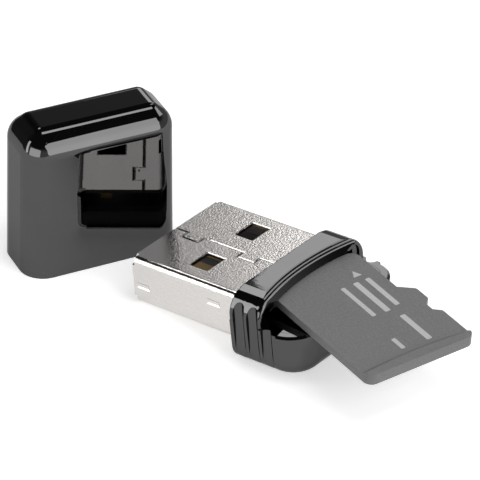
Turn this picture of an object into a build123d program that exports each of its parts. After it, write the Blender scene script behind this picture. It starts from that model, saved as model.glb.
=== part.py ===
from build123d import *
import math
import os

os.makedirs("parts", exist_ok=True)

# A small USB memory card reader. Its cap is off and stands beside it, and a card rests in the slot.
# Sizes are in millimetres. The reader is drawn level: X runs along the plug to its mouth,
# Y is across, and Z = 0 is the underside of the housing. It is tipped to its resting pose at the end.

# USB plug
plug_width = 12.0
plug_height = 4.5
plug_length = 11.9
sheet = 0.3
plug_corner = 0.6
shield_anchor = 2.0
window_across = 2.4
window_along = 1.9
window_spacing = 6.08
window_behind_mouth = 6.2
lip_length = 0.45
lip_inset = 0.2
lip_notch = 0.75
coin_length = 1.4
coin_height = 0.55
coin_depth = 0.07
coin_slope = 0.13
front_coin_behind = 0.55
front_coin_above = 1.6
rear_coin_behind = 8.45
rear_coin_above = 2.62
seam_gap = 0.07
seam_aside = 0.15
seam_tab_length = 1.85
seam_tab_width = 0.87
front_tab_behind = 1.6
rear_tab_behind = 7.8
stake_length = 1.1
stake_width = 0.16
stake_depth = 0.1
relief_margin = 0.3
relief_above = 0.6
edge_break = 0.12
edge_break_depth = 0.036
window_corner = 0.15

# Housing around the plug
plug_drop = 1.35
plug_rise = 0.8
housing_width = 14.4
top_flat = 10.2
strip_width = 0.75
strip_fall = 0.2
shoulder = 2.0
shoulder_rise = 0.7
shoulder_reach = 0.78
deck_height = 4.15
tray_length = 7.35
tray_corner = 2.8
side_draft_angle = 2.0
bottom_round = 1.65
band_length = 1.95
leg_length = 3.25
arch_radius = 22.0
arch_lean = 0.8
step_count = 2
step_width = 0.18
step_depth = 0.2
step_lean = 0.05
bezel_width = 12.9
bezel_height = 1.98
bezel_depth = 0.15
bezel_corner = 1.0
rim_chamfer = 0.22
leg_round = 0.4
front_round = 0.12
arch_break_in = 0.12
arch_break_down = 0.05
flute_count = 3
flute_offset = 0.98
flute_pitch = 1.47
flute_radius = 0.6
flute_depth = 0.54
flute_top = 5.72
floor_thickness = 0.9
wall_thickness = 1.05
rim_wall = 0.8

# Card slot and the deck in front of it
slot_width = 11.4
slot_height = 1.51
pocket_height = 1.8
slot_wall = 0.45
deck_thickness = 0.85

# Circuit board and what is soldered to it
board_thickness = 0.6
board_width = 10.8
board_corner = 0.6
board_entry = 0.9
post_radius = 0.85
peg_radius = 0.4
post_spacing = 8.2
post_from_rear = 1.15
chip_side = 2.8
chip_height = 0.85
chip_corner = 0.12
crystal_size = (0.8, 1.6, 0.5)
chip_part_size = (1.0, 0.5, 0.5)
resistor_height = 0.32
rear_row_room = 0.8
crystal_aside = 1.2
third_capacitor_aside = 1.3
capacitor_aside = 2.9
resistor_aside = 4.3

# Contacts of the plug
carrier_setback = 0.4
carrier_shelf = 0.4
carrier_lead_in = 0.35
contact_width = 1.0
contact_sheet = 0.25
contact_pitch_inner = 2.0
contact_pitch_outer = 7.0
contact_reach_outer = 10.3
contact_reach_inner = 9.3
contact_tail = 0.35
contact_tip_run = 0.5
contact_tip_drop = 0.45
contact_nose = 0.25
contact_nose_drop = 0.2
contact_bend_back = 0.35

# Card socket
stop_at = 1.9
stop_thickness = 0.4
spring_count = 8
spring_pitch = 1.1
spring_width = 0.5
spring_sheet = 0.12
spring_rise = 0.3
spring_bend = 0.2
spring_inset = 0.3
spring_foot_length = 0.5
spring_arm = 1.6
spring_tip = 0.6
spring_tip_drop = 0.12
spring_room = 0.06

# Memory card
card_length = 15.0
card_width = 11.0
card_thickness = 0.7
lip_thickness = 1.0
card_narrow = 9.7
narrow_length = 5.95
bump_start = 7.0
bump_end = 8.65
card_notch_depth = 0.65
card_notch_floor = 9.15
card_notch_rise = 10.05
card_notch_end = 10.6
card_corner = 0.8
bump_corner = 0.3
lip_side = 1.0
lip_middle = 1.4
lip_ramp = 0.45
card_lean_angle = 8.5
card_turn_angle = 15.3
card_inward = 6.54
card_aside = 3.65

# Cap
cap_width = 14.45
cap_thickness = 6.9
cap_end = 1.8
cap_corner = 2.2
cap_draft_angle = 0.9
cap_bevel_in = 1.6
cap_bevel_down = 1.4
cap_shoulder_round = 2.0
cap_edge_round = 1.1
cap_clearance = 0.15
cap_depth_spare = 0.5
cap_rib_width = 0.5
cap_rib_length = 8.0
cap_rib_start = 1.2
cap_rib_root = 0.05
cap_mouth_chamfer = 0.25
cap_at = (20.57, 1.93)
cap_turn_angle = 244.9

# Clearances
fit = 0.03
free = 0.1

# Sizes that follow from the ones above
housing_height = plug_drop + plug_height + plug_rise
plug_bottom = plug_drop
plug_top = plug_drop + plug_height
plug_middle = (plug_bottom + plug_top) / 2
inner_width = plug_width - 2 * sheet
inner_height = plug_height - 2 * sheet
inner_bottom = plug_bottom + sheet
inner_top = plug_top - sheet
board_top = deck_height - deck_thickness
carrier_top = board_top + contact_sheet
board_bottom = board_top - board_thickness
board_front = board_entry
board_rear = -(tray_length - wall_thickness - 4 * free)
post_x = board_rear + post_from_rear
front_row = -(post_x + post_radius + free + chip_part_size[0] / 2)
rear_row = tray_length - wall_thickness - rear_row_room
chip_behind = rear_row - crystal_size[0] / 2 - free - chip_side / 2
rest_pitch = math.degrees(math.atan2(plug_drop, plug_length))
half = housing_width / 2
cap_height = plug_length + cap_depth_spare + cap_end
steps_bottom = housing_height - step_count * step_depth


def block(x, y, z):
    """Box from its low and high corner along each axis."""
    middle = Pos((x[0] + x[1]) / 2, (y[0] + y[1]) / 2, (z[0] + z[1]) / 2)
    return middle * Box(x[1] - x[0], y[1] - y[0], z[1] - z[0])


def slope_angle(run, depth):
    """Taper, in degrees, of a cut whose walls go in by run over depth."""
    return math.degrees(math.atan2(run, depth))


def tube_section(width, height, corner, middle):
    """Rounded rectangle across the plug, drawn in Y and Z."""
    return Plane.YZ * (Pos(0, middle) * RectangleRounded(width, height, corner))


def along(sketch, start, end):
    """Push a sketch drawn in Y and Z along X."""
    return extrude(Pos(start, 0, 0) * sketch, amount=end - start, dir=(1, 0, 0))


def across(points, width):
    """Push an outline drawn in X and Z to both sides of the middle."""
    outline = make_face(Plane.XZ * Polyline(*points, close=True))
    return extrude(outline, amount=width / 2, both=True)


def tray_outline(inset, front):
    """Plan of the tray: straight sides and a rear edge with round corners."""
    side = half - inset
    rear = -(tray_length - inset)
    corners = [(front, -side), (front, side), (rear, side), (rear, -side)]
    face = make_face(Polyline(*corners, close=True))
    rear_corners = face.vertices().group_by(Axis.X)[0]
    return fillet(rear_corners, tray_corner - inset)


def arch_wall(radius, low, lean, high=housing_height + 0.5):
    """Round cutter that hollows the rear of the band; its wall leans back between these heights."""
    tall = high - low
    cone = Cone(radius, radius + lean * tall, tall, align=(Align.CENTER, Align.CENTER, Align.MIN))
    return Pos(-(band_length + arch_radius), 0, low) * cone


def flutes():
    """Upright grip grooves with round tops on both sides of the housing."""
    cutters = []
    for side in (-1, 1):
        y = side * (half + flute_radius - flute_depth)
        for index in range(flute_count):
            x = -(flute_offset + index * flute_pitch)
            rod = Cylinder(flute_radius, flute_top + 1, align=(Align.CENTER, Align.CENTER, Align.MAX))
            cutters.append(Pos(x, y, flute_top) * rod)
            cutters.append(Pos(x, y, flute_top) * Sphere(flute_radius))
    return cutters


def plug_pocket(gap):
    """Room for the rear end of the plug shield in the housing."""
    section = tube_section(plug_width + 2 * gap, plug_height + 2 * gap, plug_corner + gap, plug_middle)
    return along(section, -shield_anchor - gap, 1.0)


# Lower shell: a tray with a flat front, round rear corners and a round lower edge
tray = extrude(
    Pos(0, 0, deck_height) * tray_outline(0, plug_length / 4),
    amount=deck_height,
    dir=(0, 0, -1),
    taper=side_draft_angle,
)
tray = fillet(tray.faces().sort_by(Axis.Z)[0].edges(), bottom_round)
tray = tray - block((0, plug_length), (-housing_width, housing_width), (-1, 2 * housing_height))
lower_shell = tray - plug_pocket(fit)
lower_shell -= extrude(
    Pos(0, 0, floor_thickness) * tray_outline(wall_thickness, -shield_anchor),
    amount=deck_height,
)
lower_shell -= extrude(
    Pos(0, 0, board_top) * tray_outline(rim_wall, -shield_anchor - fit),
    amount=deck_height,
)
rim_loop = block(
    (-2 * tray_length, -leg_length - bottom_round),
    (-housing_width, housing_width),
    (deck_height - rim_chamfer, deck_height + 1),
)
rim_keep = extrude(
    Pos(0, 0, deck_height - rim_chamfer) * tray_outline(0, plug_length),
    amount=rim_chamfer,
    taper=45,
)
lower_shell -= rim_loop - rim_keep
for side in (-1, 1):
    post = Cylinder(post_radius, board_bottom - floor_thickness, align=(Align.CENTER, Align.CENTER, Align.MIN))
    peg = Cylinder(
        peg_radius,
        board_thickness - free,
        align=(Align.CENTER, Align.CENTER, Align.MIN),
    )
    lower_shell += Pos(post_x, side * post_spacing / 2, floor_thickness) * post
    lower_shell += Pos(post_x, side * post_spacing / 2, board_bottom) * peg
for cutter in flutes():
    lower_shell -= cutter

# Upper shell: the band over the plug, with a flat top, a bevel strip and a hollow leaning rear face
strip_end = top_flat / 2 + strip_width
shoulder_slope = 1.2 * strip_fall / strip_width
with BuildSketch(Plane.YZ) as band_sketch:
    with BuildLine():
        Line((half, deck_height), (half, housing_height - shoulder))
        Bezier(
            (half, housing_height - shoulder),
            (half, housing_height - shoulder + shoulder_rise),
            (strip_end + shoulder_reach, housing_height - strip_fall - shoulder_reach * shoulder_slope),
            (strip_end, housing_height - strip_fall),
        )
        Line((strip_end, housing_height - strip_fall), (top_flat / 2, housing_height))
        Line((top_flat / 2, housing_height), (0, housing_height))
        Line((0, housing_height), (0, deck_height))
        Line((0, deck_height), (half, deck_height))
    make_face()
    mirror(about=Plane.YZ)
band = extrude(band_sketch.sketch, amount=-leg_length)
for end, size in ((-1, front_round), (0, leg_round)):
    end_face = band.faces().sort_by(Axis.X)[end]
    outer_edges = [edge for edge in end_face.edges() if edge.center().Z > deck_height + free]
    band = fillet(outer_edges, size)
lean_low = deck_height - 1
lean_radius = arch_radius - step_count * step_width - arch_lean * (steps_bottom - lean_low)
upper_shell = band - arch_wall(lean_radius, lean_low, arch_lean)
for index in range(step_count):
    step_low = housing_height - (index + 1) * step_depth
    upper_shell -= arch_wall(arch_radius - index * step_width, step_low, step_lean)
for index in range(step_count + 1):
    level = housing_height - index * step_depth
    upper_shell -= arch_wall(
        arch_radius - index * step_width,
        level - arch_break_down,
        arch_break_in / arch_break_down,
        level + fit / 3,
    )
bezel = Plane.YZ * (
    Pos(0, deck_height + bezel_height / 2 - 1) * RectangleRounded(bezel_width, bezel_height + 2, bezel_corner)
)
bezel = along(bezel, -2 * leg_length, -band_length)
upper_shell -= bezel & arch_wall(lean_radius + bezel_depth, lean_low, arch_lean)
upper_shell -= bezel & block((-2 * leg_length, -leg_length + bezel_depth), (-half, half), (0, housing_height))
upper_shell -= plug_pocket(fit)
slot_rear = band_length + slot_wall
for reach, height in ((-2 * leg_length, slot_height), (-slot_rear, pocket_height)):
    upper_shell -= block(
        (reach, -free),
        (-slot_width / 2, slot_width / 2),
        (deck_height - 1, deck_height + height),
    )
for cutter in flutes():
    upper_shell -= cutter

# Deck: the flat plate that the card slides over, let into the rim of the tray
slot_deck = extrude(
    Pos(0, 0, board_top) * tray_outline(rim_wall + fit, -shield_anchor - 2 * fit),
    amount=deck_thickness,
)

# Plug shield: folded sheet with windows, bent lips with notched corners, coined marks and a seam
def broken_edge(sketch):
    """Shallow cut with sloping walls that breaks the edges of an opening in the top of the plug."""
    angle = slope_angle(edge_break, edge_break_depth)
    return extrude(Pos(0, 0, plug_top) * sketch, amount=edge_break_depth, dir=(0, 0, -1), taper=angle)


outer = along(tube_section(plug_width, plug_height, plug_corner, plug_middle), -shield_anchor, plug_length)
mouth_edges = outer.faces().sort_by(Axis.X)[-1].edges()
outer = chamfer(mouth_edges, length=lip_length, length2=lip_inset, reference=outer.faces().sort_by(Axis.X)[-1])
inner = along(
    tube_section(inner_width, inner_height, plug_corner - sheet, plug_middle),
    -shield_anchor - 1,
    plug_length + 1,
)
plug_shield = outer - inner
window_x = plug_length - window_behind_mouth
for side in (-1, 1):
    window = RectangleRounded(window_along, window_across, window_corner)
    window_at = Pos(window_x, side * window_spacing / 2, 0)
    plug_shield -= extrude(window_at * window, amount=housing_height)
    plug_shield -= broken_edge(
        window_at * Rectangle(window_along + 2 * edge_break, window_across + 2 * edge_break)
    )
for y in (-plug_width / 2, plug_width / 2):
    for z in (plug_bottom, plug_top):
        plug_shield -= block(
            (plug_length - lip_length, plug_length + 1),
            (y - lip_notch, y + lip_notch),
            (z - lip_notch, z + lip_notch),
        )
    for behind, above in ((front_coin_behind, front_coin_above), (rear_coin_behind, rear_coin_above)):
        coin_spot = (plug_length - behind - coin_length / 2, y, plug_bottom + above + coin_height / 2)
        coin_plane = Plane(coin_spot, x_dir=(1, 0, 0), z_dir=(0, -math.copysign(1, y), 0))
        coin = coin_plane * Rectangle(coin_length, coin_height)
        plug_shield -= extrude(coin, amount=coin_depth, taper=slope_angle(coin_slope, coin_depth))
plug_shield -= block(
    (-shield_anchor - 1, free),
    (-slot_width / 2 + relief_margin, slot_width / 2 - relief_margin),
    (plug_middle + relief_above, housing_height),
)
seam_path = [(plug_length + 1, seam_aside)]
for behind in (front_tab_behind, rear_tab_behind):
    tab_front = plug_length - behind
    tab_rear = tab_front - seam_tab_length
    seam_path.append((tab_front, seam_aside))
    seam_path.append((tab_front, seam_aside + seam_tab_width))
    seam_path.append((tab_rear, seam_aside + seam_tab_width))
    seam_path.append((tab_rear, seam_aside))
seam_path.append((-shield_anchor - 1, seam_aside))
seam = trace(Polyline(*seam_path), line_width=seam_gap)
seam_edges = trace(Polyline(*seam_path), line_width=seam_gap + 2 * edge_break)
plug_shield -= extrude(Pos(0, 0, plug_middle) * seam, amount=plug_height)
plug_shield -= broken_edge(seam_edges)
stake_x = plug_length - front_tab_behind - seam_tab_length / 2
plug_shield -= Pos(stake_x, seam_aside + seam_tab_width / 2, plug_top) * Box(
    stake_length, stake_width, 2 * stake_depth
)

# Contact carrier: the insulator in the lower half of the plug, with a groove for each contact
carrier_front = plug_length - carrier_setback
carrier_profile = [
    (carrier_front, inner_bottom),
    (carrier_front, carrier_top - carrier_lead_in),
    (carrier_front - carrier_lead_in, carrier_top),
    (board_front + fit, carrier_top),
    (board_front + fit, board_bottom),
    (-carrier_shelf, board_bottom),
    (-carrier_shelf, inner_bottom),
]
contact_carrier = across(carrier_profile, inner_width - 2 * fit)
carrier_edges = contact_carrier.edges().filter_by(Axis.X).group_by(Axis.Z)[0]
contact_carrier = fillet(carrier_edges, plug_corner - sheet)
contact_rows = [
    (-contact_pitch_outer / 2, contact_reach_outer),
    (-contact_pitch_inner / 2, contact_reach_inner),
    (contact_pitch_inner / 2, contact_reach_inner),
    (contact_pitch_outer / 2, contact_reach_outer),
]


def usb_contact(y, reach, gap):
    """Flat contact strip with a dipped tip; a gap of more than zero gives its groove."""
    low = board_top
    top = carrier_top + fit
    profile = [
        (-contact_tail - gap, low),
        (reach - contact_tip_run - gap, low),
        (reach - gap, low - contact_tip_drop - gap),
        (reach + contact_nose + 2 * gap, low - contact_nose_drop - gap),
        (reach - contact_bend_back + gap, top + gap),
        (-contact_tail - gap, top + gap),
    ]
    return Pos(0, y, 0) * across(profile, contact_width + 2 * gap)


usb_contacts = []
for y, reach in contact_rows:
    usb_contacts.append(usb_contact(y, reach, 0))
    contact_carrier -= usb_contact(y, reach, fit)

# Circuit board on the posts, with its pegs through two holes
board = extrude(
    Pos((board_front + board_rear) / 2, 0, board_bottom)
    * RectangleRounded(board_front - board_rear, board_width, board_corner),
    amount=board_thickness,
)
circuit_board = board
for side in (-1, 1):
    hole = Cylinder(peg_radius + fit, 4 * board_thickness)
    circuit_board -= Pos(post_x, side * post_spacing / 2, board_bottom) * hole


def under_board(x, y, length, width, height):
    """A component that hangs from the underside of the board."""
    return block(
        (x - length / 2, x + length / 2),
        (y - width / 2, y + width / 2),
        (board_bottom - height, board_bottom),
    )


long, wide, tall = chip_part_size
chip = under_board(-chip_behind, 0, chip_side, chip_side, chip_height)
chip = chamfer(chip.edges().filter_by(Axis.Z), chip_corner)
components = {
    "controller_chip": chip,
    "crystal": under_board(-rear_row, -crystal_aside, *crystal_size),
    "capacitor_1": under_board(-front_row, capacitor_aside, long, wide, tall),
    "capacitor_2": under_board(-front_row, -capacitor_aside, long, wide, tall),
    "capacitor_3": under_board(-rear_row, third_capacitor_aside, wide, long, tall),
    "resistor_1": under_board(-front_row, resistor_aside, long, wide, resistor_height),
    "resistor_2": under_board(-front_row, -resistor_aside, long, wide, resistor_height),
}

# Card socket: a base level with the deck, a stop for the card and eight springs
socket_profile = [
    (-shield_anchor, board_top),
    (board_front, board_top),
    (board_front, carrier_top + 2 * fit),
    (stop_at + stop_thickness, carrier_top + 2 * fit),
    (stop_at + stop_thickness, inner_top - fit),
    (stop_at, inner_top - fit),
    (stop_at, deck_height),
    (-shield_anchor, deck_height),
]
socket_frame = across(socket_profile, inner_width - 2 * fit)
socket_frame = socket_frame & along(
    tube_section(inner_width - 2 * fit, inner_height - 2 * fit, plug_corner - sheet, plug_middle),
    -shield_anchor - 1,
    plug_length,
)
for y, reach in contact_rows:
    socket_frame -= block(
        (-contact_tail - free, board_front + 1),
        (y - contact_width / 2 - free, y + contact_width / 2 + free),
        (board_top - free, carrier_top + 2 * fit),
    )
spring_foot = -shield_anchor + spring_inset
spring_crest = spring_foot + spring_foot_length + spring_arm
spring_path = [
    (spring_foot, board_top + spring_sheet / 2),
    (spring_foot + spring_foot_length, board_top + spring_sheet / 2),
    (spring_crest, deck_height + spring_rise - spring_sheet / 2),
    (spring_crest + spring_tip, deck_height - spring_tip_drop),
]
spring_line = FilletPolyline(*spring_path, radius=spring_bend)
spring_face = Plane.XZ * trace(spring_line, line_width=spring_sheet)
card_springs = []
for index in range(spring_count):
    y = (index - (spring_count - 1) / 2) * spring_pitch
    spring = extrude(spring_face, amount=spring_width / 2, dir=(0, 1, 0), both=True)
    card_springs.append(Pos(0, y, 0) * spring)
    socket_frame -= block(
        (spring_foot - free, spring_crest + spring_tip + 2 * free),
        (y - spring_width / 2 - spring_room, y + spring_width / 2 + spring_room),
        (board_top - free, deck_height + free),
    )

# Memory card, drawn flat: X from the contact end to the outer end, Y from the plain edge
card_points = [
    (0, 0),
    (0, card_narrow),
    (narrow_length, card_narrow),
    (bump_start, card_width),
    (bump_end, card_width),
    (card_notch_floor, card_width - card_notch_depth),
    (card_notch_rise, card_width - card_notch_depth),
    (card_notch_end, card_width),
    (card_length, card_width),
    (card_length, 0),
]
card_face = make_face(Polyline(*card_points, close=True))
round_corners = [
    vertex
    for vertex in card_face.vertices()
    if vertex.X < 0.01 or vertex.X > card_length - 0.01
]
card_face = fillet(round_corners, card_corner)
bump_corners = [
    vertex
    for vertex in card_face.vertices()
    if vertex.Y > card_width - 0.01 and bump_start - 0.01 < vertex.X < card_notch_end + 0.01
]
card_face = fillet(bump_corners, bump_corner)
lip_line = ThreePointArc(
    (card_length - lip_side, -1),
    (card_length - lip_middle, card_width / 2),
    (card_length - lip_side, card_width + 1),
)
lip_cutter = make_face(
    [
        lip_line,
        Line((card_length - lip_side, card_width + 1), (card_length + 1, card_width + 1)),
        Line((card_length + 1, card_width + 1), (card_length + 1, -1)),
        Line((card_length + 1, -1), (card_length - lip_side, -1)),
    ]
)
memory_card = extrude(card_face, amount=card_thickness)
lip = extrude(card_face & lip_cutter, amount=lip_thickness)
lip_top = lip.faces().sort_by(Axis.Z)[-1]
lip_inner_edge = lip_top.edges().sort_by(Axis.X)[0]
lip_wall = lip.faces().sort_by(Axis.X)[0]
lip = chamfer(lip_inner_edge, length=lip_thickness - card_thickness, length2=lip_ramp, reference=lip_wall)
memory_card += lip

# The card leans on the rear rim of the deck, turned a little, with its contact end in the slot mouth
lean_at = -(tray_length - rim_chamfer)
lean_point = Location((lean_at, 0, deck_height + fit), (0, -card_lean_angle, 0))
card_spot = Location((card_inward, card_aside, 0), (0, 0, 180 - card_turn_angle))
memory_card = lean_point * card_spot * memory_card

# Cap: drafted shell with a bevelled closed end, open below, with grip ribs inside
cap_body = extrude(RectangleRounded(cap_width, cap_thickness, cap_corner), amount=cap_height, taper=cap_draft_angle)
cap_top = cap_body.faces().sort_by(Axis.Z)[-1]
cap_body = chamfer(cap_top.edges(), length=cap_bevel_in, length2=cap_bevel_down, reference=cap_top)
cap_shoulder = [edge for edge in cap_body.edges() if abs(edge.center().Z - cap_height + cap_bevel_down) < 0.05]
cap_shoulder = [edge for edge in cap_shoulder if edge.bounding_box().size.Z < 0.05]
cap_body = fillet(cap_shoulder, cap_shoulder_round)
cap_body = fillet(cap_body.faces().sort_by(Axis.Z)[-1].edges(), cap_edge_round)
cap_offset = plug_middle - housing_height / 2
hole_width = plug_width + 2 * cap_clearance
hole_height = plug_height + 2 * cap_clearance
hole_depth = plug_length + cap_depth_spare
cap_rib_height = cap_clearance - 2 * fit
hole_face = RectangleRounded(hole_width, hole_height, plug_corner + cap_clearance)
hole = Pos(0, cap_offset, 0) * extrude(hole_face, amount=hole_depth)
hole_mouth = Pos(0, cap_offset, 0) * extrude(
    offset(hole_face, cap_mouth_chamfer), amount=cap_mouth_chamfer, taper=45
)
cap = cap_body - hole - hole_mouth
for x in (-hole_width / 4, hole_width / 4):
    for side in (-1, 1):
        y = cap_offset + side * (hole_height / 2 - cap_rib_height / 2 + cap_rib_root)
        cap += Pos(x, y, cap_rib_start + cap_rib_length / 2) * Box(
            cap_rib_width, cap_rib_height + 2 * cap_rib_root, cap_rib_length
        )

# The reader rests on the front edge of its housing and the lower lip of its plug
nodes = {
    "upper_shell": upper_shell,
    "lower_shell": lower_shell,
    "slot_deck": slot_deck,
    "plug_shield": plug_shield,
    "contact_carrier": contact_carrier,
    "circuit_board": circuit_board,
    "socket_frame": socket_frame,
    "memory_card": memory_card,
}
nodes.update(components)
for index, contact in enumerate(usb_contacts):
    nodes["usb_contact_" + str(index + 1)] = contact
for index, spring in enumerate(card_springs):
    nodes["card_contact_" + str(index + 1)] = spring
tip = Location((0, 0, 0), (0, rest_pitch, 0))
for name in nodes:
    nodes[name] = tip * nodes[name]
nodes["cap"] = Location((cap_at[0], cap_at[1], 0), (0, 0, cap_turn_angle)) * cap

# Everything is moved so that the origin is the middle of the footprint, on the table
box = Compound([shape for shape in nodes.values()]).bounding_box()
middle = Pos(-(box.min.X + box.max.X) / 2, -(box.min.Y + box.max.Y) / 2, -box.min.Z)
for name, shape in nodes.items():
    export_step(middle * shape, "parts/" + name + ".step")
print("nodes", len(nodes), "origin moved by", middle.position)
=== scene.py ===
# %% [markdown]
# A small memory card reader, its cap and a card, as a lesson in dressing a finished solid model.
# The solids come in as a fixed frame: every piece is already in its place, in metres, so this
# file only adds looks.

# %% Load the solids
import math
import bpy
import numpy as np
from mathutils import Matrix, Vector


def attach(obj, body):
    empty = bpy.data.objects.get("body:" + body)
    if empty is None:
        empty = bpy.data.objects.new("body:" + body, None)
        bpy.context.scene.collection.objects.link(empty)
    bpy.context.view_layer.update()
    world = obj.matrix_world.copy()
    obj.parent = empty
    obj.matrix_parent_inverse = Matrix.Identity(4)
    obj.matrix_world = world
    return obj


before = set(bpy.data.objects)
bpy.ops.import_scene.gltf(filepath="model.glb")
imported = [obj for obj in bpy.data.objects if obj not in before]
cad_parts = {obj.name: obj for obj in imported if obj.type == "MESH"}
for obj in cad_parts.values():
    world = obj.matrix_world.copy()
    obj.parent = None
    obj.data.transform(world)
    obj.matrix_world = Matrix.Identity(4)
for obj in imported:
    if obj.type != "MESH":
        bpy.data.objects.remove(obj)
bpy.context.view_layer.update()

MM = 0.001

# %% [markdown]
# The camera stands on the card's side of the reader and looks down at it by a little over a third of
# a right angle, with a long lens, so that the edges stay nearly parallel. A camera could be aimed with
# a constraint; here its three axes are known, so they are written straight into its matrix.

# %% Camera
lens_length = 262.5
film_width = 36.0
camera_place = (-0.15216690, 0.19202944, 0.17439966)
right = Vector((-0.7737561, -0.6330849, 0.0224720))
down = Vector((-0.3713443, 0.4245459, -0.8257507))
ahead = Vector((0.5132299, -0.6472745, -0.5635874))
camera_data = bpy.data.cameras.new("camera")
camera_data.lens = lens_length
camera_data.sensor_width = film_width
camera = bpy.data.objects.new("camera", camera_data)
bpy.context.scene.collection.objects.link(camera)
turn = Matrix((right, -down, -ahead)).transposed()
camera.matrix_world = Matrix.Translation(camera_place) @ turn.to_4x4()
bpy.context.scene.camera = camera
bpy.context.scene.view_settings.view_transform = "Standard"
print("camera at", tuple(round(c, 4) for c in camera.location))

# %% [markdown]
# A mirror-gloss object shows its lamps, so each lamp here is a soft box placed where a surface
# should see it. A box is described by the direction it lies in and by its radiance, which is how
# bright it looks in a mirror; the lamp's power is that times pi times its area. A lamp that only
# fills in light for the matt surfaces is hidden from reflections, and a box that is only there to
# be mirrored lights no matt surface.

# %% A soft box
lamp_distance = 0.6


def soft_box(name, azimuth, elevation, size, radiance, roll=0.0, slide=(0.0, 0.0),
             mirrored=True, lights=True):
    """Area lamp turned to the object: power is radiance times pi times area; slide moves it in its plane."""
    lamp = bpy.data.lights.new(name, "AREA")
    lamp.shape = "RECTANGLE"
    lamp.size, lamp.size_y = size
    lamp.energy = radiance * math.pi * size[0] * size[1]
    az, el = math.radians(azimuth), math.radians(elevation)
    out = Vector((math.cos(el) * math.cos(az), math.cos(el) * math.sin(az), math.sin(el)))
    facing = out.to_track_quat("Z", "Y").to_matrix().to_4x4()
    box = bpy.data.objects.new(name, lamp)
    shift = Matrix.Translation((*slide, lamp_distance))
    box.matrix_world = facing @ shift @ Matrix.Rotation(math.radians(roll), 4, "Z")
    box.visible_glossy = mirrored
    box.visible_diffuse = lights
    bpy.context.scene.collection.objects.link(box)


# %% Where the soft boxes stand
soft_box("card_end_box", 177, 27.7, (0.32, 0.60), 3.2)
soft_box("far_box", -50, 24, (0.256, 0.1045), 3.4, roll=36.87, slide=(-0.0974, -0.0009))
soft_box("deck_box", -50, 24, (0.0075, 0.011), 3.6, roll=36.87, slide=(0.0315, 0.0468))
soft_box("strip_box", -25, 46, (0.14, 0.10), 4.3)
soft_box("near_low_box", 46, 20, (0.13, 0.43), 4.2, roll=26)
soft_box("near_side_box", 95, 17, (0.62, 0.36), 3.0, lights=False)
soft_box("arch_box", -77.5, 47.5, (0.075, 0.235), 3.0)
soft_box("cap_edge_box", 190, 68, (0.31, 0.185), 3.8, roll=-40.6, slide=(0.013, 0.055))
soft_box("cap_end_box", -117, 39, (0.26, 0.10), 3.2, roll=-40.5)
soft_box("overhead_fill", 90, 80, (0.9, 0.9), 0.24, mirrored=False)

# %% [markdown]
# Shaders are trees of nodes. One small helper adds a node, gives it its settings and feeds its
# inputs, so that each line of a tree reads as one sentence. The world uses it first.

# %% Helper for node trees
def add(tree, kind, links=None, **settings):
    """New node with its settings; links maps an input to the socket that feeds it."""
    node = tree.nodes.new(kind)
    for key, value in settings.items():
        setattr(node, key, value)
    for key, value in (links or {}).items():
        if isinstance(value, bpy.types.NodeSocket):
            tree.links.new(value, node.inputs[key])
        else:
            node.inputs[key].default_value = value
    return node


# %% [markdown]
# Around the soft boxes the studio is grey near the table and dark above, which is what gives dark
# lacquer its depth. It could be a picture of a room; a smooth ramp over the height of the look
# direction is enough, and it is dimmed towards the plug's side, where the cap's end should be dark.

# %% Studio
world = bpy.data.worlds.new("studio")
bpy.context.scene.world = world
world.use_nodes = True
tree = world.node_tree
studio = tree.nodes["Background"]
studio.inputs["Color"].default_value = (1.0, 1.0, 1.0, 1)
look = add(tree, "ShaderNodeTexCoord")
parts = add(tree, "ShaderNodeSeparateXYZ", {0: look.outputs["Generated"]})
rise = add(tree, "ShaderNodeMapRange", {"Value": parts.outputs["Z"], "From Min": 0.30, "From Max": 0.68,
                                        "To Min": 0.45, "To Max": 0.035}, interpolation_type="SMOOTHSTEP")
dim = add(tree, "ShaderNodeMapRange", {"Value": parts.outputs["X"], "From Min": 0.60, "From Max": 0.86,
                                       "To Min": 1.0, "To Max": 0.2}, interpolation_type="SMOOTHSTEP")
shade = add(tree, "ShaderNodeMath", {0: rise.outputs[0], 1: dim.outputs[0]}, operation="MULTIPLY")
tree.links.new(shade.outputs[0], studio.inputs["Strength"])
print("studio", len(tree.nodes), "nodes")

# %% [markdown]
# The table is white paper, a level sheet far larger than the object. Part of its white is plain
# paper that takes the shadow, and part is shown only to the camera and to mirror rays, so that the
# table is white without more light on the object.

# %% Table sheet
def table_grid(reach, count):
    """Level square grid: x and y run evenly from -reach to reach, z is nought."""
    line = np.linspace(-reach, reach, count)
    x, y = np.meshgrid(line, line, indexing="ij")
    points = np.stack([x, y, np.zeros_like(x)], axis=-1).reshape(-1, 3)
    index = np.arange(count * count).reshape(count, count)
    quads = np.stack([index[:-1, :-1], index[1:, :-1], index[1:, 1:], index[:-1, 1:]], axis=-1)
    return points, quads.reshape(-1, 4)


points, quads = table_grid(3.0, 9)
table_mesh = bpy.data.meshes.new("table")
table_mesh.from_pydata(points.tolist(), [], quads.tolist())
table = bpy.data.objects.new("table", table_mesh)
bpy.context.scene.collection.objects.link(table)
print("table", len(points), "points")

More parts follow.
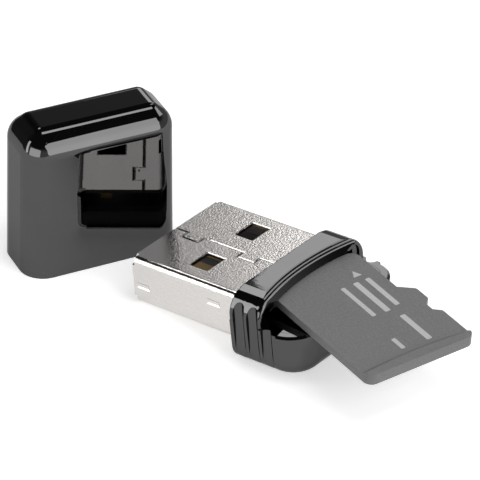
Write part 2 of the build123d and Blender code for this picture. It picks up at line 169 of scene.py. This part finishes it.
# %% White paper
paper = bpy.data.materials.new("white_paper")
paper.use_nodes = True
tree = paper.node_tree
tree.nodes.clear()
matt = add(tree, "ShaderNodeBsdfDiffuse", {"Color": (0.85, 0.85, 0.85, 1)})
path = add(tree, "ShaderNodeLightPath")
seen = add(tree, "ShaderNodeMath", {0: path.outputs["Is Camera Ray"], 1: path.outputs["Is Glossy Ray"]},
           operation="MAXIMUM")
seen_all = add(tree, "ShaderNodeMath", {0: seen.outputs[0], 1: path.outputs["Is Transmission Ray"]},
               operation="MAXIMUM")
level = add(tree, "ShaderNodeMath", {0: seen_all.outputs[0], 1: 0.54}, operation="MULTIPLY")
glow = add(tree, "ShaderNodeEmission", {"Strength": level.outputs[0]})
both = add(tree, "ShaderNodeAddShader", {0: matt.outputs[0], 1: glow.outputs[0]})
add(tree, "ShaderNodeOutputMaterial", {"Surface": both.outputs[0]})
table_mesh.materials.append(paper)
print("paper", len(tree.nodes), "nodes")

# %% [markdown]
# Most finishes share two effects: a fine grain, and the marks of handling, which are faint smears
# and a few specks of dust. Each is built once as a node group that puts out masks and values, and
# every finish places it with its own scale. The groups read Object coordinates, which are metres here.

# %% An empty node group
def new_group(name, inputs, outputs):
    """Empty shader group with float inputs (name, value) and outputs (name, kind)."""
    group = bpy.data.node_groups.new(name, "ShaderNodeTree")
    for label, value in inputs:
        socket = group.interface.new_socket(label, in_out="INPUT", socket_type="NodeSocketFloat")
        socket.default_value = value
    for label, kind in outputs:
        group.interface.new_socket(label, in_out="OUTPUT", socket_type=kind)
    return group, group.nodes.new("NodeGroupInput"), group.nodes.new("NodeGroupOutput")


# %% Fine grain group
grain, into, outof = new_group(
    "fine_grain",
    [("Across", 9000.0), ("Along", 9000.0), ("Detail", 3.0)],
    [("Value", "NodeSocketFloat"), ("Cloud", "NodeSocketFloat")],
)
where = add(grain, "ShaderNodeTexCoord")
scale = add(grain, "ShaderNodeCombineXYZ", {"X": into.outputs["Along"], "Y": into.outputs["Across"],
                                            "Z": into.outputs["Across"]})
spread = add(grain, "ShaderNodeVectorMath", {0: where.outputs["Object"], 1: scale.outputs[0]},
             operation="MULTIPLY")
fine = add(grain, "ShaderNodeTexNoise", {"Vector": spread.outputs[0], "Scale": 1.0,
                                         "Detail": into.outputs["Detail"], "Roughness": 0.6})
cloud = add(grain, "ShaderNodeTexNoise", {"Vector": where.outputs["Object"], "Scale": 260.0, "Detail": 2.0})
grain.links.new(fine.outputs["Fac"], outof.inputs["Value"])
grain.links.new(cloud.outputs["Fac"], outof.inputs["Cloud"])
print("group", grain.name)

# %% Handling marks group
marks, into, outof = new_group(
    "handling_marks",
    [("Smear", 420.0), ("Dust", 1500.0)],
    [("Smear", "NodeSocketFloat"), ("Dust", "NodeSocketFloat")],
)
where = add(marks, "ShaderNodeTexCoord")
wipe = add(marks, "ShaderNodeTexNoise", {"Vector": where.outputs["Object"], "Scale": into.outputs["Smear"],
                                         "Detail": 3.0, "Roughness": 0.55, "Distortion": 0.8})
wiped = add(marks, "ShaderNodeMapRange", {"Value": wipe.outputs["Fac"], "From Min": 0.5, "From Max": 0.72})
cells = add(marks, "ShaderNodeTexVoronoi", {"Vector": where.outputs["Object"], "Scale": into.outputs["Dust"]})
speck = add(marks, "ShaderNodeMapRange", {"Value": cells.outputs["Distance"], "From Min": 0.05,
                                          "From Max": 0.0})
pick = add(marks, "ShaderNodeSeparateColor", {"Color": cells.outputs["Color"]})
few = add(marks, "ShaderNodeMath", {0: pick.outputs[0], 1: 0.93}, operation="GREATER_THAN")
dust = add(marks, "ShaderNodeMath", {0: speck.outputs[0], 1: few.outputs[0]}, operation="MULTIPLY")
marks.links.new(wiped.outputs[0], outof.inputs["Smear"])
marks.links.new(dust.outputs[0], outof.inputs["Dust"])
print("group", marks.name)

# %% [markdown]
# Every finish starts from the Principled shader. What is the same all over a piece is set on the
# shader's own sockets; what changes over its surface comes from the groups, spread between two
# values or two colours. A solid only takes the finish on, and its mesh stays as it came.

# %% Start of every finish
def finish(name, **principled):
    """New material with a Principled shader whose uniform values are set on its own sockets."""
    material = bpy.data.materials.new(name)
    material.use_nodes = True
    tree = material.node_tree
    shader = tree.nodes["Principled BSDF"]
    for key, value in principled.items():
        shader.inputs[key.replace("_", " ")].default_value = value
    return material, tree, shader


def place(tree, group, **values):
    """Put a shared group into a finish with this finish's own values."""
    node = tree.nodes.new("ShaderNodeGroup")
    node.node_tree = group
    for key, value in values.items():
        node.inputs[key].default_value = value
    return node


def spread_value(tree, value, low, high, start=0.0, stop=1.0):
    """Straight line from low to high while the value runs from start to stop."""
    node = add(tree, "ShaderNodeMapRange", {"Value": value, "From Min": start, "From Max": stop,
                                            "To Min": low, "To Max": high})
    return node.outputs[0]


def spread_colour(tree, value, low, high):
    """Colour between two, by a value from nought to one."""
    node = add(tree, "ShaderNodeMix", {"Factor": value, "A": (*low, 1), "B": (*high, 1)}, data_type="RGBA")
    return node.outputs["Result"]


def wear(material, *nodes):
    """Give a finish to solids that stay as they are."""
    for node in nodes:
        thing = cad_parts[node]
        thing.data.materials.clear()
        thing.data.materials.append(material)
    print(material.name, "on", nodes)


# %% [markdown]
# The housing and the cap are plastic with a thin layer of metal under clear lacquer: a dark mirror.
# A dark metallic shader gives that directly. Smears change only how sharp the mirror is, and specks
# of dust lie on it as small dull dots.

# %% Gunmetal lacquer
gunmetal, tree, shader = finish("gunmetal_lacquer", Metallic=1.0, Specular_Tint=(0.62, 0.62, 0.62, 1))
touched = place(tree, marks, Smear=420.0, Dust=1400.0)
mottle = place(tree, grain, Across=3000.0, Along=3000.0, Detail=2.0)
tint = spread_colour(tree, mottle.outputs["Cloud"], (0.073, 0.073, 0.075), (0.085, 0.084, 0.085))
dusty = add(tree, "ShaderNodeMix", {"Factor": touched.outputs["Dust"], "A": tint, "B": (0.42, 0.41, 0.40, 1)},
            data_type="RGBA")
tree.links.new(dusty.outputs["Result"], shader.inputs["Base Color"])
tree.links.new(spread_value(tree, touched.outputs["Smear"], 0.012, 0.03), shader.inputs["Roughness"])
peel = add(tree, "ShaderNodeBump", {"Height": mottle.outputs["Value"], "Strength": 0.02, "Distance": 0.00002})
tree.links.new(peel.outputs[0], shader.inputs["Normal"])
wear(gunmetal, "cap", "upper_shell", "lower_shell", "slot_deck")

# %% [markdown]
# The plug is nickel-plated sheet. Rolling leaves a grain along the sheet and plating leaves a fine
# frosty speckle, so the grain group is placed twice, once even and once drawn out along the plug.
# Both change the colour a little. Only the speckle goes into the bump: its small slopes make each
# spot see a lamp or miss it, and that is the glitter of the real sheet.

# %% Nickel-plated sheet
nickel, tree, shader = finish("nickel_sheet", Metallic=1.0)
speckle = place(tree, grain, Across=6000.0, Along=6000.0, Detail=2.0)
rolled = place(tree, grain, Across=16000.0, Along=900.0, Detail=2.0)
worn = add(tree, "ShaderNodeMath", {0: speckle.outputs["Value"], 1: rolled.outputs["Value"]},
           operation="MULTIPLY")
tone = spread_value(tree, worn.outputs[0], 0.0, 1.0, 0.12, 0.40)
tint = spread_colour(tree, tone, (0.56, 0.54, 0.525), (0.64, 0.615, 0.595))
tree.links.new(tint, shader.inputs["Base Color"])
tree.links.new(spread_value(tree, speckle.outputs["Value"], 0.13, 0.17), shader.inputs["Roughness"])
frost = add(tree, "ShaderNodeBump", {"Height": speckle.outputs["Value"], "Strength": 1.0,
                                     "Distance": 0.000016})
tree.links.new(frost.outputs[0], shader.inputs["Normal"])
wear(nickel, "plug_shield")

# %% [markdown]
# The card is moulded in dark grey plastic with a satin, faintly sparked surface, so it has a soft
# sheen and no mirror image.

# %% Satin card
card_satin, tree, shader = finish("card_satin")
spark = place(tree, grain, Across=6500.0, Along=6500.0, Detail=3.0)
tint = spread_colour(tree, spark.outputs["Value"], (0.110, 0.110, 0.113), (0.235, 0.235, 0.237))
tree.links.new(tint, shader.inputs["Base Color"])
tree.links.new(spread_value(tree, spark.outputs["Cloud"], 0.50, 0.62), shader.inputs["Roughness"])
sparked = add(tree, "ShaderNodeBump", {"Height": spark.outputs["Value"], "Strength": 0.6,
                                       "Distance": 0.00003})
tree.links.new(sparked.outputs[0], shader.inputs["Normal"])
wear(card_satin, "memory_card")

# %% [markdown]
# The card carries a little light print on its face: an arrow that shows which end goes in first, and
# plain bars. Print could be painted in the material, but a film of ink is a thing of its own, so each
# mark is a closed slab a hundredth of a millimetre proud, let into the face. The marks are drawn flat,
# in millimetres from a corner of the card, and are then carried to where the card leans in the slot.

# %% Where the card lies
def turn_about(axis, degrees):
    """Rotation matrix about one axis of the frame."""
    return np.array(Matrix.Rotation(math.radians(degrees), 3, axis))


plug_reach, mouth_drop = 11.9, 1.35
card_lean, card_aim = 8.5, 164.7
card_slide = np.array([6.54, 3.65, 0.0])
lean_point = np.array([-7.13, 0.0, 4.18])
row_shift = np.array([-4.37162, -1.00537, 0.0])
tip = turn_about("Y", math.degrees(math.atan2(mouth_drop, plug_reach)))


def on_card(points):
    """Points drawn flat on the card, in metres: aimed, slid into the slot, leaned, tipped and shifted."""
    slid = points @ turn_about("Z", card_aim).T + card_slide
    leaned = slid @ turn_about("Y", -card_lean).T + lean_point
    return (leaned @ tip.T + row_shift) * MM


print("card corner at", on_card(np.zeros((1, 3)))[0])

# %% Outlines of the marks
def bar_outline(x, y, corner, count=32):
    """Round-cornered bar: a corner circle whose centre is at whichever corner the angle faces."""
    angle = (np.arange(count) + 0.5) * 2 * np.pi / count
    reach = np.array([x[1] - x[0], y[1] - y[0]]) / 2 - corner
    facing = np.stack([np.cos(angle), np.sin(angle)], axis=-1)
    return np.array([x[0] + x[1], y[0] + y[1]]) / 2 + np.sign(facing) * reach + corner * facing


def arrow_outline(corners, count=8):
    """Triangle: points spread evenly along the straight lines from each corner to the next."""
    corners = np.array(corners, float)
    share = np.linspace(0.0, 1.0, count, endpoint=False)[None, :, None]
    return (corners[:, None] * (1 - share) + np.roll(corners, -1, axis=0)[:, None] * share).reshape(-1, 2)


# %% A mark as a closed slab
edge_height = 0.004


def slab(outline, low, high, soft=0.93):
    """Outline at three heights, drawn in a little at the top, and closed by a middle point at both ends."""
    middle = outline.mean(axis=0)
    rings = [(outline, low), (outline, high - edge_height), (middle + (outline - middle) * soft, high)]
    walls = [np.column_stack([ring, np.full(len(ring), level)]) for ring, level in rings]
    points = np.concatenate(walls + [[[*middle, low]], [[*middle, high]]])
    count = len(outline)
    here = np.arange(count)
    after = np.roll(here, -1)
    quads = [np.stack([here, after, after + count, here + count], axis=-1) + step * count for step in (0, 1)]
    under = np.stack([after, here, np.full(count, 3 * count)], axis=-1)
    over = np.stack([here + 2 * count, after + 2 * count, np.full(count, 3 * count + 1)], axis=-1)
    return points, np.concatenate(quads), np.concatenate([under, over])


# %% Several slabs as one piece
def build_marks(name, slabs, material):
    """One mesh from several slabs, put where the card lies, riding on the one body."""
    starts = np.cumsum([0] + [len(points) for points, quads, fans in slabs[:-1]])
    points = on_card(np.concatenate([points for points, quads, fans in slabs]))
    faces = []
    for start, (own, quads, fans) in zip(starts, slabs):
        faces += (quads + start).tolist() + (fans + start).tolist()
    mesh = bpy.data.meshes.new(name)
    mesh.from_pydata(points.tolist(), [], faces)
    mesh.materials.append(material)
    piece = bpy.data.objects.new(name, mesh)
    bpy.context.scene.collection.objects.link(piece)
    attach(piece, "root")
    print(name, len(slabs), "marks,", len(faces), "faces")


# %% Light ink
ink, tree, shader = finish("light_ink")
patchy = place(tree, grain, Across=9000.0, Along=9000.0, Detail=3.0)
tree.links.new(spread_colour(tree, patchy.outputs["Value"], (0.42, 0.42, 0.42), (0.66, 0.66, 0.655)),
               shader.inputs["Base Color"])
tree.links.new(spread_value(tree, patchy.outputs["Cloud"], 0.42, 0.55), shader.inputs["Roughness"])
print("ink", ink.name)

# %% Print on the card
face_low, face_high = 0.690, 0.712
bar_corner = 0.12
arrow_corners = [(2.25, 7.80), (3.05, 7.38), (3.05, 8.22)]
bars = (
    ((3.70, 8.00), (8.02, 8.50)),
    ((3.70, 8.30), (6.75, 7.30)),
    ((3.75, 8.25), (5.42, 5.85)),
    ((9.35, 13.15), (7.38, 7.92)),
    ((11.55, 13.05), (4.80, 5.22)),
)
print_outlines = [arrow_outline(arrow_corners)] + [bar_outline(x, y, bar_corner) for x, y in bars]
print_slabs = [slab(outline, face_low, face_high) for outline in print_outlines]
build_marks("card_print", print_slabs, ink)

# %% [markdown]
# Inside the plug is a black moulded carrier, and further in are the frame of the card socket and the
# chip's package. Such mouldings come from a spark-eroded mould, which leaves them faintly mottled and
# dull, so the grain group changes both their colour and their roughness.

# %% Black moulding
moulded, tree, shader = finish("black_moulding")
spark = place(tree, grain, Across=9000.0, Along=9000.0)
tree.links.new(spread_colour(tree, spark.outputs["Value"], (0.014, 0.014, 0.015), (0.035, 0.035, 0.036)),
               shader.inputs["Base Color"])
tree.links.new(spread_value(tree, spark.outputs["Cloud"], 0.38, 0.55), shader.inputs["Roughness"])
wear(moulded, "contact_carrier", "socket_frame", "controller_chip")

# %% [markdown]
# The contacts in the plug and the springs under the card are thin plated strips. They lie in shadow
# behind the windows, so their gold colour is painted darker as painted shade and kept dull, with a grain
# drawn out along the strip.

# %% Gold plate
gold, tree, shader = finish("gold_plate", Metallic=1.0)
spark = place(tree, grain, Across=12000.0, Along=2500.0)
# painted shade: the gold colour is darkened here for the shadow the strips lie in
tree.links.new(spread_colour(tree, spark.outputs["Value"], (0.20, 0.135, 0.05), (0.30, 0.215, 0.09)),
               shader.inputs["Base Color"])
tree.links.new(spread_value(tree, spark.outputs["Value"], 0.30, 0.45), shader.inputs["Roughness"])
strips = ["usb_contact_%d" % i for i in range(1, 5)] + ["card_contact_%d" % i for i in range(1, 9)]
wear(gold, *strips)

# %% [markdown]
# Under its contact end the card has eight plated pads. They are films as the print is, so they are
# made by the same slab function, let into the underside and set out in an even row across the card.

# %% Pads under the card
pad_count, pad_pitch, pad_width, pad_corner = 8, 1.1, 0.8, 0.1
pad_middle = 4.85
pad_run = (0.75, 3.65)
pad_low, pad_high = -0.012, 0.004
pad_rows = pad_middle + (np.arange(pad_count) - (pad_count - 1) / 2) * pad_pitch
pad_sides = np.stack([pad_rows - pad_width / 2, pad_rows + pad_width / 2], axis=-1)
pads = [slab(bar_outline(pad_run, sides, pad_corner), pad_low, pad_high) for sides in pad_sides]
# the pads wear the same gold, whose colour is darkened as painted shade
build_marks("card_pads", pads, gold)

# %% [markdown]
# The board is green solder mask, a thin coat of lacquer over glass cloth. A little clear coat over a
# mottled green gives its wet look without a layered shader.

# %% Solder mask
mask, tree, shader = finish("solder_mask", Coat_Weight=0.3)
spark = place(tree, grain, Across=5000.0, Along=5000.0)
tree.links.new(spread_colour(tree, spark.outputs["Value"], (0.012, 0.075, 0.035), (0.03, 0.15, 0.07)),
               shader.inputs["Base Color"])
tree.links.new(spread_value(tree, spark.outputs["Cloud"], 0.28, 0.42), shader.inputs["Roughness"])
wear(mask, "circuit_board")

# %% [markdown]
# The crystal sits in a drawn metal can, brighter and smoother than the plug, with a faint grain along it.

# %% Bright can
can, tree, shader = finish("bright_can", Metallic=1.0)
spark = place(tree, grain, Across=12000.0, Along=3000.0)
tree.links.new(spread_colour(tree, spark.outputs["Value"], (0.58, 0.58, 0.57), (0.72, 0.71, 0.70)),
               shader.inputs["Base Color"])
tree.links.new(spread_value(tree, spark.outputs["Value"], 0.16, 0.30), shader.inputs["Roughness"])
wear(can, "crystal")

# %% [markdown]
# The small parts beside the chip are blocks of fired ceramic, matt and a little uneven in colour.

# %% Fired ceramic
ceramic, tree, shader = finish("fired_ceramic")
spark = place(tree, grain, Across=9000.0, Along=9000.0)
tree.links.new(spread_colour(tree, spark.outputs["Value"], (0.33, 0.24, 0.16), (0.50, 0.38, 0.27)),
               shader.inputs["Base Color"])
tree.links.new(spread_value(tree, spark.outputs["Cloud"], 0.42, 0.6), shader.inputs["Roughness"])
wear(ceramic, "capacitor_1", "capacitor_2", "capacitor_3", "resistor_1", "resistor_2")
